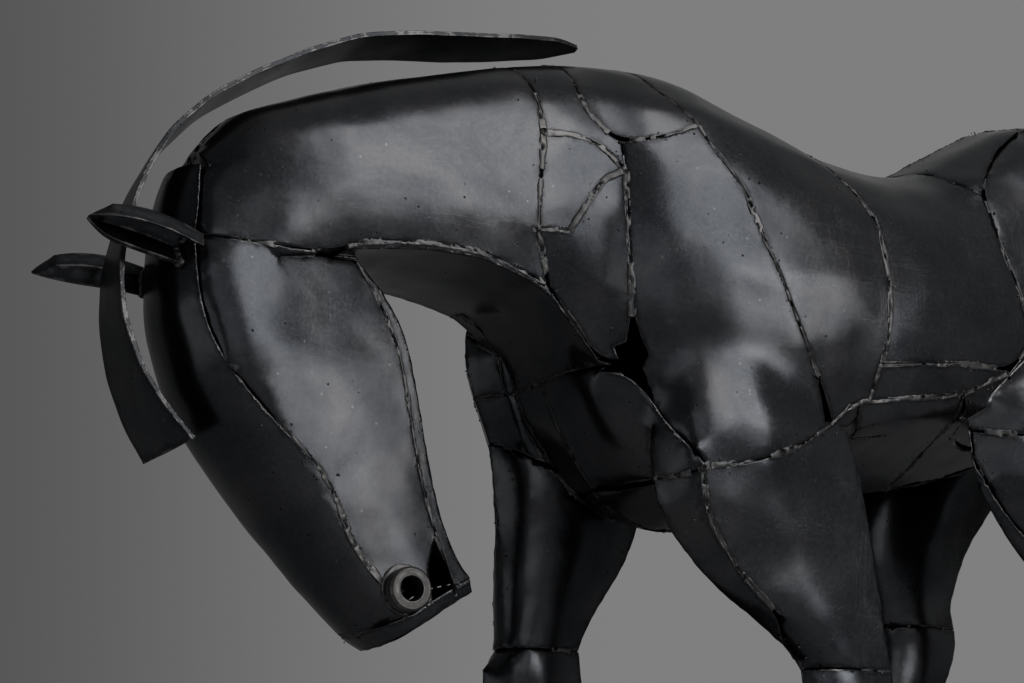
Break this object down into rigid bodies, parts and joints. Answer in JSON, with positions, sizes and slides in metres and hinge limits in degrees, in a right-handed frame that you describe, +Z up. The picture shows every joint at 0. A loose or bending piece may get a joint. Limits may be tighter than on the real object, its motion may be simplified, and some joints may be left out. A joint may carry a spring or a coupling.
{
  "type": "sheet-steel horse sculpture",
  "caption": "Walking horse sculpture of welded patinated steel plates, head bowed, with an arched mane strap, standing on a low flat steel base.",
  "frame": {"origin": "centre of the base plate's underside", "axes": "+Z up, the horse's head toward -X and its left side toward -Y"},
  "size_m": [0.9296, 0.24, 0.7319],
  "materials": {
    "patina_steel": "blue-black patina, satin, rubbed lighter on the high spots",
    "bare_steel": "ground bare steel, dull",
    "dark_steel": "mill scale, matte"
  },
  "bodies": {
    "root": {"face_plate": "patina_steel", "cheek_left": "patina_steel", "cheek_right": "patina_steel", "jaw_plate": "patina_steel", "muzzle_plate": "patina_steel", "neck_left": "patina_steel", "neck_right": "patina_steel", "throat_plate": "patina_steel", "crest_patch_left": "patina_steel", "neck_gusset_left": "patina_steel", "shoulder_front_left": "patina_steel", "shoulder_front_right": "patina_steel", "shoulder_point_right": "patina_steel", "withers_left": "patina_steel", "withers_right": "patina_steel", "shoulder_blade_left": "patina_steel", "shoulder_blade_right": "patina_steel", "chest_left": "patina_steel", "chest_right": "patina_steel", "rib_left": "patina_steel", "rib_right": "patina_steel", "loin_left": "patina_steel", "loin_right": "patina_steel", "flank_left": "patina_steel", "flank_right": "patina_steel", "belly_plate": "patina_steel", "groin_left": "patina_steel", "groin_right": "patina_steel", "croup_left": "patina_steel", "croup_right": "patina_steel", "haunch_left": "patina_steel", "haunch_right": "patina_steel", "foreleg_left_outer": "patina_steel", "foreleg_left_inner": "patina_steel", "knee_left": "patina_steel", "foreleg_right_outer": "patina_steel", "foreleg_right_inner": "patina_steel", "knee_right": "patina_steel", "thigh_left_outer": "patina_steel", "thigh_left_inner": "patina_steel", "hock_left": "patina_steel", "thigh_right_outer": "patina_steel", "thigh_right_inner": "patina_steel", "hock_right": "patina_steel", "cannon_fore_left": "patina_steel", "cannon_fore_right": "patina_steel", "cannon_hind_left": "patina_steel", "cannon_hind_right": "patina_steel", "hoof_fore_left": "dark_steel", "hoof_fore_right": "dark_steel", "hoof_hind_left": "dark_steel", "hoof_hind_right": "dark_steel", "nostril_ring_left": "bare_steel", "nostril_ring_right": "bare_steel", "ear_left": "patina_steel", "ear_right": "patina_steel", "mane_strap": "patina_steel", "tail": "patina_steel", "base_plate": "dark_steel"}
  },
  "joints": []
}
